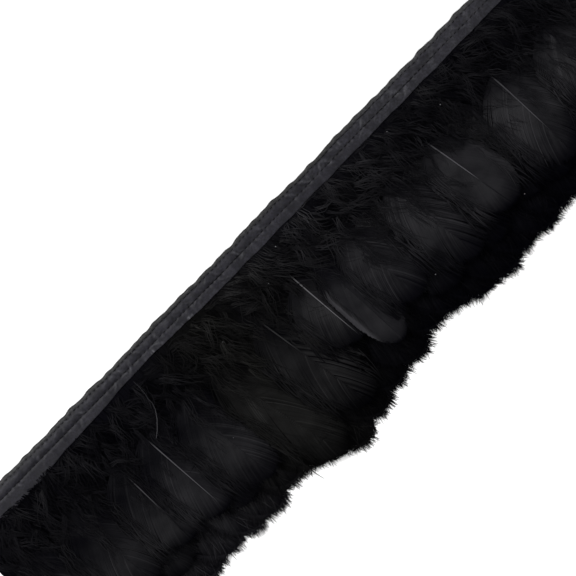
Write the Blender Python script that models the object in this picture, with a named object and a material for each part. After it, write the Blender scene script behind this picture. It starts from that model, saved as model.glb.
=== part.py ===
"""Half a metre of goose feather trim, lying face up on a table.

A ribbon tape is folded over the quills of three ranks of goose feathers and sewn shut with two rows of
stitching. Every feather is one solid: a quill inside the tape, a puff of down in front of it, and a vane
with a raised shaft. The ranks lie on each other, and within a rank each vane tips up on its left side, so
that it rests over the right side of the vane before it.

Metres, +Z up. The tape runs along X and the feathers point to -Y. The origin is at the middle of the tape's
underside, which is the flat face that is sewn or glued to a garment.
"""

import math

import bmesh
import bpy

# The tape: a ribbon folded lengthwise, with the quills between its two plies
TRIM_LENGTH = 0.500
TAPE_WIDTH = 0.0150
PLY = 0.0005
QUILL_ROOM = 0.0017
TAPE_HEIGHT = 2 * PLY + QUILL_ROOM
FOLD_HEIGHT = 0.0013
FOLD_SLOPE = 0.0030
TAPE_STATIONS = 18
# The ribbon went through the sewing machine by hand, so its folded width changes along it: (x, width)
TAPE_WIDTHS = (
    (-0.250, 0.0190),
    (-0.205, 0.0185),
    (-0.160, 0.0155),
    (-0.095, 0.0130),
    (-0.030, 0.0150),
    (0.250, 0.0148),
)

# The sewing thread: two rows on the upper ply, measured from the folded edge
THREAD_ROWS = {"stitch_thread_outer": 0.0026, "stitch_thread_inner": 0.0084}
THREAD_WIDTH = 0.0005
THREAD_HEIGHT = 0.0003
THREAD_GAP = 0.0002

# The quills: one to a slot along the tape, back rank and front ranks turn about
FEATHERS = 50
SLOT = TRIM_LENGTH / FEATHERS
SLOT_JITTER = 0.0008
QUILL_DEPTH = 0.0110
QUILL_HALF_WIDTH = 0.00075
QUILL_HALF_HEIGHT = 0.00055
QUILL_Z = PLY + QUILL_ROOM / 2

# The down: a puff on each feather, from the tape to where the vane begins
DOWN_START = 0.0020
DOWN_END = 0.0305
DOWN_GAP = 0.0006
DOWN_FLOOR = 0.0004
DOWN_HEIGHT = 0.0104
# Each station along the puff: how far along it, and its width and height there as shares of the fullest
DOWN_STATIONS = (
    (0.00, 0.00, 0.00),
    (0.06, 0.75, 0.45),
    (0.30, 1.00, 0.90),
    (0.72, 1.00, 1.00),
    (0.94, 0.80, 0.75),
    (1.00, 0.00, 0.00),
)

# The vanes
VANE_START = 0.0315
VANE_OPENING = 0.0140
VANE_SHARES = (0.0, 0.05, 0.15, 0.40, 0.65, 0.84, 0.94, 0.995)
VANE_KEEL = 0.00025
VANE_SHOULDER = 0.00022
SHAFT_CREST = 0.00045
SHAFT_HALF_WIDTH = 0.0010
CLEARANCE = 0.0003
STEP_UP = SHAFT_CREST + VANE_KEEL + CLEARANCE
FLOOR_GAP = 0.00005

# How each rank lies: the most that a vane reaches from the tape, half its width, and its sideways slope
BACK = {"reach": 0.132, "half_width": 0.0240, "slope": 0.088}
MIDDLE = {"reach": 0.110, "half_width": 0.0220, "slope": 0.050}
TOP = {"reach": 0.128, "half_width": 0.0225, "slope": 0.052}
RANKS = {"back": BACK, "middle": MIDDLE, "top": TOP}

# The feathers of the back rank make the scalloped lower edge: how far each one reaches from the tape
BACK_REACHES = (
    0.118, 0.121, 0.117, 0.119, 0.122, 0.120, 0.121, 0.122, 0.117, 0.123, 0.132, 0.126, 0.1205,
    0.1185, 0.1125, 0.1145, 0.121, 0.122, 0.119, 0.1195, 0.117, 0.120, 0.116, 0.120, 0.118,
)  # fmt: skip

# The front feathers, in the slots between those of the back rank: rank, shift along the tape from the
# slot's middle, lean to +X in degrees, reach and half width. The top rank's feathers are seen whole.
FRONT_FEATHERS = (
    ("top", 0.0, 2.0, 0.092, 0.0210),
    ("middle", 0.0, 3.0, 0.104, 0.0215),
    ("top", 0.0, 4.0, 0.098, 0.0220),
    ("middle", 0.0, 2.5, 0.108, 0.0215),
    ("top", 0.0010, 1.0, 0.096, 0.0200),
    ("top", 0.0040, 3.5, 0.098, 0.0210),
    ("middle", 0.0, 3.0, 0.106, 0.0210),
    ("top", -0.0030, 4.0, 0.104, 0.0215),
    ("top", 0.0, 12.0, 0.128, 0.0180),
    ("middle", 0.0, 6.0, 0.109, 0.0205),
    ("top", 0.0040, 8.0, 0.116, 0.0190),
    ("middle", 0.0, 3.0, 0.102, 0.0210),
    ("top", 0.0, 2.5, 0.084, 0.0190),
    ("top", -0.0020, 2.5, 0.103, 0.0145),
    ("top", 0.0, 6.0, 0.092, 0.0180),
    ("middle", 0.0, 5.0, 0.104, 0.0215),
    ("top", 0.0, 6.5, 0.100, 0.0190),
    ("middle", 0.0, 6.0, 0.104, 0.0205),
    ("top", -0.0040, 9.0, 0.094, 0.0195),
    ("middle", 0.0, 4.0, 0.100, 0.0210),
    ("middle", 0.0, 4.0, 0.104, 0.0215),
    ("top", -0.0040, 2.0, 0.100, 0.0225),
    ("middle", 0.0, 3.0, 0.104, 0.0205),
    ("top", 0.0, 3.0, 0.094, 0.0210),
    ("middle", 0.0, 2.0, 0.102, 0.0205),
)

# The lean of the back rank's feathers, in degrees: its mean, and a slow wave along the trim
BACK_LEAN = 4.5
BACK_LEAN_WAVE = 2.5
BACK_WAVE_LENGTH = 0.31
BEND = 0.0015

BLACK_FEATHER = (0.013, 0.013, 0.014)
CHARCOAL_RIBBON = (0.030, 0.030, 0.034)
BLACK_THREAD = (0.012, 0.012, 0.013)


def uneven(number, salt):
    """A fixed value from -1 to 1 that looks random, for the small differences between feathers."""
    return 2 * ((number * 0.6180340 + salt * 0.3819660) % 1) - 1


def material(name, colour, roughness):
    """A plain, non-metallic finish."""
    made = bpy.data.materials.new(name)
    made.use_nodes = True
    shader = made.node_tree.nodes["Principled BSDF"]
    shader.inputs["Base Color"].default_value = (*colour, 1.0)
    shader.inputs["Roughness"].default_value = roughness
    shader.inputs["Metallic"].default_value = 0.0
    return made


def loft(name, rings, finish):
    """One closed solid through a row of rings, each with the same number of corners, with flat ends."""
    mesh = bmesh.new()
    rows = [[mesh.verts.new(corner) for corner in ring] for ring in rings]
    for before, after in zip(rows, rows[1:]):
        for i, corner in enumerate(before):
            following = (i + 1) % len(before)
            mesh.faces.new((corner, before[following], after[following], after[i]))
    mesh.faces.new(rows[0])
    mesh.faces.new(rows[-1])
    bmesh.ops.recalc_face_normals(mesh, faces=mesh.faces)
    data = bpy.data.meshes.new(name)
    mesh.to_mesh(data)
    mesh.free()
    data.materials.append(finish)
    made = bpy.data.objects.new(name, data)
    bpy.context.scene.collection.objects.link(made)
    return made


def tape_width(x):
    """The folded ribbon's width at x, with an easy change from each width in the list to the next."""
    for (x0, width0), (x1, width1) in zip(TAPE_WIDTHS, TAPE_WIDTHS[1:]):
        if x <= x1:
            share = max(0.0, (x - x0) / (x1 - x0))
            return width0 + (width1 - width0) * (1 - math.cos(math.pi * share)) / 2
    return TAPE_WIDTHS[-1][1]


def tape_section(x):
    """The folded ribbon's outline in the YZ plane, from the lower ply's loose edge round the fold."""
    fold = TAPE_WIDTH / 2
    loose = fold - tape_width(x)
    bend = FOLD_HEIGHT / 2
    outline = (
        (loose, 0.0),
        (fold - bend, 0.0),
        (fold - 0.3 * bend, 0.3 * bend),
        (fold, bend),
        (fold - 0.4 * bend, FOLD_HEIGHT),
        (fold - FOLD_SLOPE, TAPE_HEIGHT),
        (loose, TAPE_HEIGHT),
        (loose, TAPE_HEIGHT - PLY),
        (fold - FOLD_SLOPE - PLY / 2, TAPE_HEIGHT - PLY),
        (fold - bend - PLY / 2, FOLD_HEIGHT - PLY / 3),
        (fold - bend - PLY / 2, PLY),
        (loose, PLY),
    )
    return [(x, y, z) for y, z in outline]


def make_tape():
    step = TRIM_LENGTH / (TAPE_STATIONS - 1)
    stations = [-TRIM_LENGTH / 2 + step * i for i in range(TAPE_STATIONS)]
    finish = material("ribbon", CHARCOAL_RIBBON, 0.55)
    loft("ribbon_tape", [tape_section(x) for x in stations], finish)


def make_threads():
    """Each row of stitching, as the line of thread that lies on the upper ply."""
    finish = material("thread", BLACK_THREAD, 0.5)
    low = TAPE_HEIGHT + THREAD_GAP
    for name, from_fold in THREAD_ROWS.items():
        y = TAPE_WIDTH / 2 - from_fold
        section = (
            (y - THREAD_WIDTH / 2, low),
            (y + THREAD_WIDTH / 2, low),
            (y + THREAD_WIDTH / 4, low + THREAD_HEIGHT),
            (y - THREAD_WIDTH / 4, low + THREAD_HEIGHT),
        )
        ends = (-TRIM_LENGTH / 2, TRIM_LENGTH / 2)
        loft(name, [[(x, *corner) for corner in section] for x in ends], finish)


def vane_outline(reach, distance):
    """Half a vane's width at a distance from the tape, as a share of its widest, down to its round tip."""
    opening = math.sin(min((distance - VANE_START) / VANE_OPENING, 1.0) * math.pi / 2)
    share = (distance - VANE_START) / (reach - VANE_START)
    closing = math.sqrt(1 - max(0.0, (share - 0.5) / 0.5) ** 2.6)
    return opening * closing


def tip_of(rank, distance):
    """How far a rank's widest vane rises or drops at its sides, at a distance from the tape."""
    if not VANE_START < distance < rank["reach"]:
        return 0.0
    return rank["slope"] * rank["half_width"] * vane_outline(rank["reach"], distance)


def rank_height(rank, distance):
    """The height of a rank's shafts above the table: over the table, or over the rank below."""
    if rank is BACK:
        return max(VANE_KEEL + FLOOR_GAP, tip_of(BACK, distance) + FLOOR_GAP)
    below = BACK if rank is MIDDLE else MIDDLE
    return rank_height(below, distance) + tip_of(below, distance) + STEP_UP + tip_of(rank, distance)


def shaft_x(feather, distance):
    """Where the shaft runs at a distance from the tape, with its slight bend."""
    share = distance / feather["reach"]
    return feather["root"] + math.tan(feather["lean"]) * distance + feather["bend"] * share**2


def section(x, y, left, right, crest, keel):
    """A ring of six corners: left edge, shoulder, crest, shoulder, right edge and keel.

    left and right are (edge x, edge z, shoulder x, shoulder z), and crest and keel are heights.
    """
    return [
        (left[0], y, left[1]),
        (left[2], y, left[3]),
        (x, y, crest),
        (right[2], y, right[3]),
        (right[0], y, right[1]),
        (x, y, keel),
    ]


def quill_ring(feather, distance):
    x = shaft_x(feather, max(distance, 0.0))
    y = -TAPE_WIDTH / 2 - distance
    half = QUILL_HALF_WIDTH
    shoulder = QUILL_Z + QUILL_HALF_HEIGHT * 0.8
    left = (x - half, QUILL_Z, x - half / 2, shoulder)
    right = (x + half, QUILL_Z, x + half / 2, shoulder)
    return section(x, y, left, right, QUILL_Z + QUILL_HALF_HEIGHT, QUILL_Z - QUILL_HALF_HEIGHT)


def down_ring(feather, before, after, station):
    """The puff of down fills its feather's share of the room between the shafts on either side."""
    along, width, height = station
    start = DOWN_START + tape_width(feather["root"]) - TAPE_WIDTH
    distance = start + along * (DOWN_END - start)
    x = shaft_x(feather, distance)
    y = -TAPE_WIDTH / 2 - distance
    room_left = SLOT / 2 if before is None else (x - shaft_x(before, distance)) / 2
    room_right = SLOT / 2 if after is None else (shaft_x(after, distance) - x) / 2
    slim = SHAFT_HALF_WIDTH
    reach_left = slim + width * (room_left - DOWN_GAP / 2 - slim)
    reach_right = slim + width * (room_right - DOWN_GAP / 2 - slim)
    shaft_z = QUILL_Z + along * (rank_height(feather["rank"], VANE_START) - QUILL_Z)
    crest = shaft_z + SHAFT_CREST + height * (DOWN_HEIGHT - shaft_z - SHAFT_CREST)
    keel = shaft_z - VANE_KEEL - width * (shaft_z - VANE_KEEL - DOWN_FLOOR)
    middle = (crest + keel) / 2
    shoulder = crest - 0.22 * (crest - middle)
    left = (x - reach_left, middle, x - 0.55 * reach_left, shoulder)
    right = (x + reach_right, middle, x + 0.55 * reach_right, shoulder)
    return section(x, y, left, right, crest, keel)


def vane_ring(feather, share):
    reach = feather["reach"]
    distance = VANE_START + share * (reach - VANE_START)
    x = shaft_x(feather, distance)
    y = -TAPE_WIDTH / 2 - distance
    half = max(SHAFT_HALF_WIDTH * 1.2, feather["half_width"] * vane_outline(reach, distance))
    rank = feather["rank"]
    z = rank_height(rank, distance)
    slope = rank["slope"]
    slim = min(SHAFT_HALF_WIDTH, half / 2)
    left = (x - half, z + slope * half, x - slim, z + slope * slim + VANE_SHOULDER)
    right = (x + half, z - slope * half, x + slim, z - slope * slim + VANE_SHOULDER)
    return section(x, y, left, right, z + SHAFT_CREST, z - VANE_KEEL)


def feather_list():
    """Every feather of the trim in the order of its quill along the tape."""
    counts = dict.fromkeys(RANKS, 0)
    feathers = []
    for slot in range(FEATHERS):
        x = -TRIM_LENGTH / 2 + SLOT * (slot + 0.5)
        if slot % 2 == 0:
            kind = "back"
            shift = 0.0
            wave = math.sin(2 * math.pi * x / BACK_WAVE_LENGTH + 0.7)
            lean = BACK_LEAN + BACK_LEAN_WAVE * wave + 0.8 * uneven(slot, 1)
            reach = BACK_REACHES[slot // 2]
            half_width = BACK["half_width"] * (0.96 + 0.04 * uneven(slot, 2))
        else:
            kind, shift, lean, reach, half_width = FRONT_FEATHERS[slot // 2]
        counts[kind] += 1
        feathers.append(
            {
                "name": f"{kind}_feather_{counts[kind]:02d}",
                "rank": RANKS[kind],
                "root": x + shift + SLOT_JITTER * uneven(slot, 3),
                "lean": math.radians(lean),
                "bend": BEND * uneven(slot, 4),
                "reach": reach,
                "half_width": half_width,
            }
        )
    return feathers


def make_feathers():
    feathers = feather_list()
    finish = material("feather", BLACK_FEATHER, 0.6)
    for i, feather in enumerate(feathers):
        before = feathers[i - 1] if i else None
        after = feathers[i + 1] if i + 1 < len(feathers) else None
        rings = [quill_ring(feather, -QUILL_DEPTH), quill_ring(feather, 0.0)]
        rings += [down_ring(feather, before, after, station) for station in DOWN_STATIONS]
        rings += [vane_ring(feather, share) for share in VANE_SHARES]
        loft(feather["name"], rings, finish)


for old in list(bpy.data.objects):
    bpy.data.objects.remove(old, do_unlink=True)
make_tape()
make_threads()
make_feathers()
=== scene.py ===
"""Black goose feather fringe trim, dressed for its picture.

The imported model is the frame. Each of its feathers is replaced by one with a shaft, barbs and down of its
own, the tape by a sewn and creased ribbon, and the two threads by their stitches. Metres, +Z up; the tape
runs along X, the feathers point to -Y, and the camera looks straight down.
"""

import math

import bpy
import numpy as np
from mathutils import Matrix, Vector


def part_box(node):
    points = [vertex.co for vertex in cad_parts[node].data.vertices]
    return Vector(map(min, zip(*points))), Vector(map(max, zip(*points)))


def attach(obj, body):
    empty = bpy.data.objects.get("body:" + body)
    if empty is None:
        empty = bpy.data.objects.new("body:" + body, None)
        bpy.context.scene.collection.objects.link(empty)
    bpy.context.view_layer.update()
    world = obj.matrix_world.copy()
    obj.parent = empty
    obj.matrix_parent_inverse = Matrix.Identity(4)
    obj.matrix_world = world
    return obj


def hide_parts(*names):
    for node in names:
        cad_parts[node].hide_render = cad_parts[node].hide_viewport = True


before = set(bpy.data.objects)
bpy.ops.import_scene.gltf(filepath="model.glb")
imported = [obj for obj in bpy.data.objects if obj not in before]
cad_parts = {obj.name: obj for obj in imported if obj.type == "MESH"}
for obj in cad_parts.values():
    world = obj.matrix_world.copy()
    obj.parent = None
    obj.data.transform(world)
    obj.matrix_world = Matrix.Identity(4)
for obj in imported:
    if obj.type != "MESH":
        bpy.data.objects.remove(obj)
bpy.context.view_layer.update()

# The ribbon tape. A charcoal polyester ribbon, folded lengthwise over the quills and sewn shut, so that its
# upper ply is drawn in at the stitches, creased across, and lumpy where a quill lies under it.
TAPE_LOW, TAPE_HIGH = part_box("ribbon_tape")
TRIM_LENGTH = TAPE_HIGH[0] - TAPE_LOW[0]
TAPE_WIDTH = 0.0150
TAPE_HEIGHT = TAPE_HIGH[2]
RIBBON_THICKNESS = 0.00040
FOLD_Y = TAPE_WIDTH / 2
FOLD_RADIUS = 0.00065
# How far in from the folded edge the turn ends, and how far in the pull of the sewing is felt
FOLD_TURN, PULL = 0.0009, 0.006
# Where the upper ply starts to rise over the quills, and over what width it does
RISE_FROM, RISE = 0.0006, 0.0032
# The ribbon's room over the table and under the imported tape's top
LOWER_GAP, UPPER_GAP = 0.00003, 0.0001
# Deep creases of the upper ply, where it bunched under the needle: x, how far from the fold it starts, how
# far it runs, its slant, its breadth and how strong it is
BUNCHES = (
    (-0.2050, 0.0090, 0.0060, 0.3, 0.0014, 0.8),
    (-0.1480, 0.0085, 0.0050, -0.5, 0.0010, 0.7),
    (-0.1120, 0.0030, 0.0100, 0.5, 0.0014, 1.0),
    (-0.1060, 0.0120, -0.0080, -0.6, 0.0010, 0.8),
    (-0.0955, 0.0030, 0.0070, 0.7, 0.0010, 0.6),
    (-0.0840, 0.0085, 0.0050, 1.2, 0.0018, 1.0),
    (-0.0780, 0.0040, 0.0085, -0.5, 0.0012, 0.8),
    (-0.0480, 0.0110, -0.0070, 0.5, 0.0010, 0.6),
    (-0.0060, 0.0100, -0.0070, 0.3, 0.0008, 1.0),
    (-0.0180, 0.0150, -0.0050, 1.8, 0.0016, 0.7),
    (0.0450, 0.0080, -0.0070, 0.9, 0.0010, 0.7),
    (0.0590, 0.0110, -0.0090, 0.8, 0.0014, 1.0),
    (0.0660, 0.0090, -0.0060, -0.7, 0.0010, 0.8),
    (0.0760, 0.0110, -0.0090, 0.6, 0.0015, 1.0),
    (0.1030, 0.0080, -0.0060, -1.1, 0.0010, 0.7),
    (0.1360, 0.0120, -0.0110, 0.5, 0.0016, 1.0),
    (0.1420, 0.0085, 0.0060, -0.9, 0.0012, 0.9),
    (0.1900, 0.0080, -0.0060, 0.7, 0.0010, 0.8),
)
SMALL_CREASES = 230
# Where the loose edge of the upper ply has frayed: x, half the length, how strongly
FRAYED = ((-0.058, 0.013, 1.0), (-0.088, 0.007, 0.8))
STITCH_ROWS = (0.0026, 0.0084)
STITCH_PITCH = 0.0036
# How far the sewing draws the upper ply in along a seam, over what width, and how wide the painted shade of
# its needle holes is
DIMPLE, DIMPLE_WIDTH, HOLES_WIDTH = 0.00065, 0.0009, 0.00055
# How high the upper ply swells between the seams, next to the fold, towards its loose edge and over a quill
SWELL_BETWEEN, SWELL_OUTER, SWELL_LOOSE, SWELL_QUILL = 0.00042, 0.00026, 0.00048, 0.00028
# How high a crease stands, and how deep the hollow beside it is
CREASE_HEIGHT, HOLLOW_DEPTH = 0.00060, 0.00040
RIBBON_STEP = 0.00085
UPPER_COLUMNS, FOLD_COLUMNS, LOWER_COLUMNS = 34, 7, 8
# The folded width along the tape: (x, width)
TAPE_WIDTHS = (
    (-0.250, 0.0190),
    (-0.205, 0.0185),
    (-0.160, 0.0155),
    (-0.095, 0.0130),
    (-0.030, 0.0150),
    (0.250, 0.0148),
)
RIBBON_DEEP, RIBBON_PALE = (0.0024, 0.0022, 0.0047), (0.0092, 0.0087, 0.0130)
FOLD_OLIVE = (0.0150, 0.0150, 0.0145, 1.0)
# A paler grey painted on the crease ridges as highlight, and on the frayed fibres and paler patches
CREASE_HIGHLIGHT_GREY = (0.055, 0.055, 0.062, 1.0)
# The black of the painted shade in the needle holes and the hollows beside the creases
HOLE_SHADE_BLACK = (0.0010, 0.0010, 0.0016, 1.0)


def tape_width(x):
    """The folded ribbon's width at x, with an easy change from each width in the list to the next."""
    for (x0, width0), (x1, width1) in zip(TAPE_WIDTHS, TAPE_WIDTHS[1:]):
        if x <= x1:
            share = max(0.0, (x - x0) / (x1 - x0))
            return width0 + (width1 - width0) * (1 - math.cos(math.pi * share)) / 2
    return TAPE_WIDTHS[-1][1]


def bump(distance, width):
    """A smooth bump, 1 at its middle and 0 beyond its width."""
    return np.exp(-((distance / width) ** 2))


def wander(x, seed, waves, longest, shortest):
    """A slow random wave along x, between about -1 and 1."""
    rng = np.random.RandomState(seed)
    total = np.zeros_like(x)
    for _ in range(waves):
        length = shortest + (longest - shortest) * rng.rand()
        total += np.sin(2 * np.pi * x / length + 2 * np.pi * rng.rand()) * (0.5 + rng.rand())
    return total / waves


def link_object(name, mesh):
    made = bpy.data.objects.new(name, mesh)
    bpy.context.scene.collection.objects.link(made)
    return made


class Nodes:
    """Places nodes in a tree and joins them, in one line each."""

    def __init__(self, tree):
        self.tree = tree

    def add(self, kind, settings=None, **inputs):
        node = self.tree.nodes.new(kind)
        for key, value in (settings or {}).items():
            setattr(node, key, value)
        for key, value in inputs.items():
            self.put(node, key.replace("_", " "), value)
        return node

    def put(self, node, key, value):
        socket = node.inputs[int(key[1:])] if key[0] == "i" and key[1:].isdigit() else node.inputs[key]
        if isinstance(value, bpy.types.NodeSocket):
            self.tree.links.new(value, socket)
        else:
            socket.default_value = value


def new_finish(name, roughness, specular):
    """A material with a Principled shader, and the helper that adds nodes to it."""
    made = bpy.data.materials.new(name)
    made.use_nodes = True
    shader = made.node_tree.nodes["Principled BSDF"]
    shader.inputs["Roughness"].default_value = roughness
    shader.inputs["Specular IOR Level"].default_value = specular
    return made, shader, Nodes(made.node_tree)


def colour_steps(nodes, factor, *steps):
    """A colour ramp through (place, grey or colour) steps."""
    ramp = nodes.add("ShaderNodeValToRGB", i0=factor)
    points = ramp.color_ramp.elements
    while len(points) < len(steps):
        points.new(0.5)
    for point, (place, colour) in zip(points, steps):
        point.position = place
        point.color = (*colour, 1.0)
    return ramp.outputs["Color"]


def ribbon_finish():
    """Charcoal woven ribbon: a fine weave, flecks, frayed fibres, paler patches, a painted highlight on the
    crease ridges, painted shade in the needle holes and beside the creases, and a slight sheen.
    """
    made, shader, nodes = new_finish("charcoal_ribbon", 0.50, 0.17)
    place = nodes.add("ShaderNodeTexCoord").outputs["Object"]
    cloud = nodes.add("ShaderNodeTexNoise", Vector=place, Scale=130.0, Detail=5.0).outputs["Fac"]
    fleck = nodes.add("ShaderNodeTexNoise", Vector=place, Scale=800.0, Detail=3.0).outputs["Fac"]
    crease = nodes.add("ShaderNodeAttribute", {"attribute_name": "crease"}).outputs["Fac"]
    band = nodes.add("ShaderNodeAttribute", {"attribute_name": "selvedge"}).outputs["Fac"]
    seam = nodes.add("ShaderNodeAttribute", {"attribute_name": "seam"}).outputs["Fac"]
    base = colour_steps(nodes, cloud, (0.32, RIBBON_DEEP), (0.68, RIBBON_PALE))
    olive = nodes.add("ShaderNodeMix", {"data_type": "RGBA"}, i0=band, i6=base, i7=FOLD_OLIVE)
    # Painted highlight on the crease ridges, frayed fibres and paler patches, then painted shade in the
    # needle holes and crease hollows
    paled = nodes.add("ShaderNodeMix", {"data_type": "RGBA"}, i0=crease, i6=olive.outputs[2], i7=CREASE_HIGHLIGHT_GREY)
    seam_shaded = nodes.add("ShaderNodeMix", {"data_type": "RGBA"}, i0=seam, i6=paled.outputs[2], i7=HOLE_SHADE_BLACK)
    speckle = colour_steps(nodes, fleck, (0.30, (0.35, 0.35, 0.35)), (0.70, (1.60, 1.60, 1.60)))
    flecked = nodes.add("ShaderNodeMix", {"data_type": "RGBA", "blend_type": "MULTIPLY"}, i0=0.95, i7=speckle)
    nodes.put(flecked, "i6", seam_shaded.outputs[2])
    nodes.put(shader, "Base Color", flecked.outputs[2])
    warp = nodes.add("ShaderNodeTexWave", {"bands_direction": "X"}, Vector=place, Scale=560.0, Distortion=0.6)
    weft = nodes.add("ShaderNodeTexWave", {"bands_direction": "Y"}, Vector=place, Scale=760.0, Distortion=0.6)
    weave = nodes.add("ShaderNodeMath", {"operation": "MULTIPLY"}, i0=warp.outputs["Fac"])
    nodes.put(weave, "i1", weft.outputs["Fac"])
    relief = nodes.add("ShaderNodeBump", Strength=0.5, Distance=0.0001, Height=weave.outputs[0])
    nodes.put(shader, "Normal", relief.outputs["Normal"])
    shader.inputs["Sheen Weight"].default_value = 0.03
    shader.inputs["Sheen Roughness"].default_value = 0.5
    return made


def seam_line(x, row):
    """How far from the fold a row of stitches runs, with its slight wander."""
    return STITCH_ROWS[row] + 0.0002 * wander(x, 31 + row, 3, 0.09, 0.03)


def ribbon_relief(x, across, width, quills):
    """How high the upper ply stands over flat; its crease ridges' painted highlight, with its frayed fibres
    and paler patches; and the painted shade of its needle holes and crease hollows.
    """
    rng = np.random.RandomState(11)
    height = np.zeros_like(x)
    crease = np.zeros_like(x)
    seam_shade = np.zeros_like(x)
    for row in range(len(STITCH_ROWS)):
        seam = seam_line(x, row)
        phase = x / STITCH_PITCH + 0.3 * row
        hole = np.cos(np.pi * phase) ** 2
        height -= DIMPLE * bump(across - seam, DIMPLE_WIDTH) * (0.50 + 0.50 * hole)
        patchy = np.clip(0.60 + 0.85 * wander(x, 41 + row, 5, 0.05, 0.012), 0.15, 1)
        # Painted shade along the seam, darkest at the needle holes
        seam_shade += 0.80 * bump(across - seam, HOLES_WIDTH) * (0.35 + 0.65 * hole) * patchy
    between = np.clip((across - STITCH_ROWS[0]) / (STITCH_ROWS[1] - STITCH_ROWS[0]), 0, 1)
    height += SWELL_BETWEEN * np.sin(np.pi * between) * (1 + 1.0 * wander(x, 5, 6, 0.03, 0.007))
    outer = np.clip(across / STITCH_ROWS[0], 0, 1)
    height += SWELL_OUTER * np.sin(np.pi * outer) * (1 + 1.6 * wander(x, 6, 6, 0.012, 0.004))
    inner = np.clip((across - STITCH_ROWS[1]) / (width - STITCH_ROWS[1]), 0, 1)
    height += SWELL_LOOSE * inner * wander(x, 7, 6, 0.040, 0.010)
    folds = list(BUNCHES)
    for _ in range(SMALL_CREASES):
        middle = (rng.rand() - 0.5) * TRIM_LENGTH
        start = rng.choice(STITCH_ROWS) + 0.0004 * rng.randn()
        reach = rng.choice((-1, 1)) * (0.0016 + 0.0036 * rng.rand() ** 1.3)
        size = 0.10 + 0.55 * rng.rand() ** 1.8
        folds.append((middle, start, reach, rng.randn() * 0.9, 0.0006 + 0.0008 * rng.rand(), size))
    for middle, start, reach, slant, breadth, size in folds:
        along = (across - start) / reach
        inside = np.sin(np.pi * np.clip(along, 0, 1) ** 0.7)
        line = x - middle - slant * (across - start)
        ridge = bump(line, breadth) * inside * size
        hollow = HOLLOW_DEPTH * size * inside * bump(line + 1.7 * breadth, breadth)
        height += CREASE_HEIGHT * ridge - hollow
        # A painted highlight on the crease's ridge, and painted shade in the hollow beside it
        crease += 0.34 * ridge
        seam_shade += 0.22 * size * inside * bump(line + 1.8 * breadth, breadth)
    for quill in quills:
        height += SWELL_QUILL * bump(x - quill, 0.0011) * np.clip((across - 0.0045) / 0.003, 0, 1)
    frayed = sum(strength * bump(x - place, length) for place, length, strength in FRAYED)
    frayed = frayed * np.clip((across - width + 0.0024) / 0.0010, 0, 1)
    # Paler patches towards the right end and along the fold at both ends, and frayed fibres at the loose edge
    paled = np.clip((x - 0.075) / 0.05, 0, 1)
    crease += paled * (0.06 + 0.20 * np.clip(wander(x + 0.6 * across, 21, 6, 0.022, 0.006), 0, 1))
    crease += 0.16 * np.clip((np.abs(x) - 0.080) / 0.05, 0, 1) * np.clip(1.4 - across / 0.0022, 0, 1)
    frayed = frayed * np.clip(0.5 + 1.4 * wander(x, 23, 6, 0.012, 0.004), 0, 1.6)
    crease += 1.1 * frayed * rng.rand(*np.shape(x)) ** 2
    return height, np.clip(crease, 0, 1), np.clip(seam_shade, 0, 0.9)


def fold_pull(x):
    """How far the sewing has drawn the fold out or in along the tape."""
    return 0.00080 * wander(x, 9, 6, 0.028, 0.008) + 0.00050 * wander(x, 12, 3, 0.10, 0.05)


def upper_ply(x, across, relief):
    """Where the upper ply runs, as y and z, at a distance across the tape from its folded edge."""
    low = RIBBON_THICKNESS / 2 + 2 * FOLD_RADIUS
    rise = np.clip((across - RISE_FROM) / RISE, 0, 1)
    flat = low + (TAPE_HEIGHT - RIBBON_THICKNESS / 2 - UPPER_GAP - low) * np.sin(rise * np.pi / 2)
    return FOLD_Y - across + fold_pull(x) * np.clip(1 - across / PULL, 0, 1), flat + relief


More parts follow.
